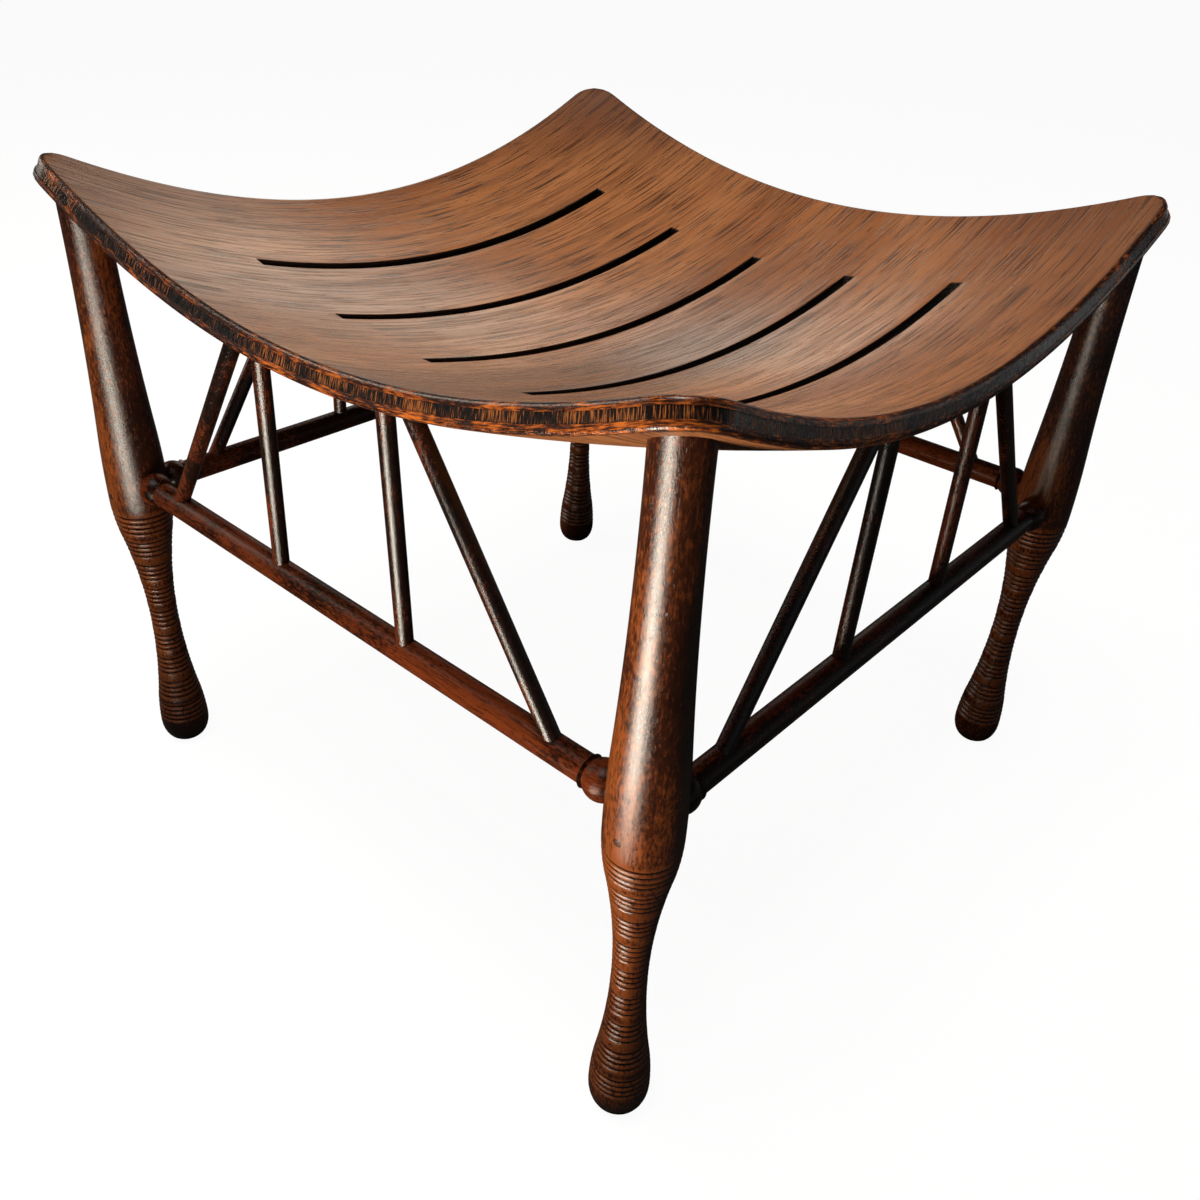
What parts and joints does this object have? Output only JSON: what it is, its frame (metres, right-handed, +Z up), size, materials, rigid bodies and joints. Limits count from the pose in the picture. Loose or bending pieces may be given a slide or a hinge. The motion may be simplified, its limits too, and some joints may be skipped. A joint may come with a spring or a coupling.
{
  "type": "thebes stool",
  "caption": "Low square stool with a dished, slotted plywood seat on turned, ring-grooved legs, joined by round stretchers and splayed spindles.",
  "frame": {"origin": "on the floor, under the middle of the seat", "axes": "+Z up, the front faces -Y, the seat's slots run along Y"},
  "size_m": [0.421, 0.422, 0.366],
  "materials": {
    "seat_face_ply": "satin",
    "seat_core_ply": "satin",
    "turned_leg": "gloss",
    "turned_rod": "gloss",
    "wooden_pin": "satin"
  },
  "bodies": {
    "root": {"leg_back_left": "turned_leg", "leg_back_right": "turned_leg", "leg_front_left": "turned_leg", "leg_front_right": "turned_leg", "pin_back_left": "wooden_pin", "pin_back_right": "wooden_pin", "pin_front_left": "wooden_pin", "pin_front_right": "wooden_pin", "pin_left_back": "wooden_pin", "pin_left_front": "wooden_pin", "pin_right_back": "wooden_pin", "pin_right_front": "wooden_pin", "seat_bottom_ply": "seat_face_ply", "seat_core_ply": "seat_core_ply", "seat_top_ply": "seat_face_ply", "spindle_back_left_slanted": "turned_rod", "spindle_back_left_upright": "turned_rod", "spindle_back_right_slanted": "turned_rod", "spindle_back_right_upright": "turned_rod", "spindle_front_left_slanted": "turned_rod", "spindle_front_left_upright": "turned_rod", "spindle_front_right_slanted": "turned_rod", "spindle_front_right_upright": "turned_rod", "spindle_left_back_slanted": "turned_rod", "spindle_left_back_upright": "turned_rod", "spindle_left_front_slanted": "turned_rod", "spindle_left_front_upright": "turned_rod", "spindle_right_back_slanted": "turned_rod", "spindle_right_back_upright": "turned_rod", "spindle_right_front_slanted": "turned_rod", "spindle_right_front_upright": "turned_rod", "stretcher_back": "turned_rod", "stretcher_front": "turned_rod", "stretcher_left": "turned_rod", "stretcher_right": "turned_rod"}
  },
  "joints": []
}
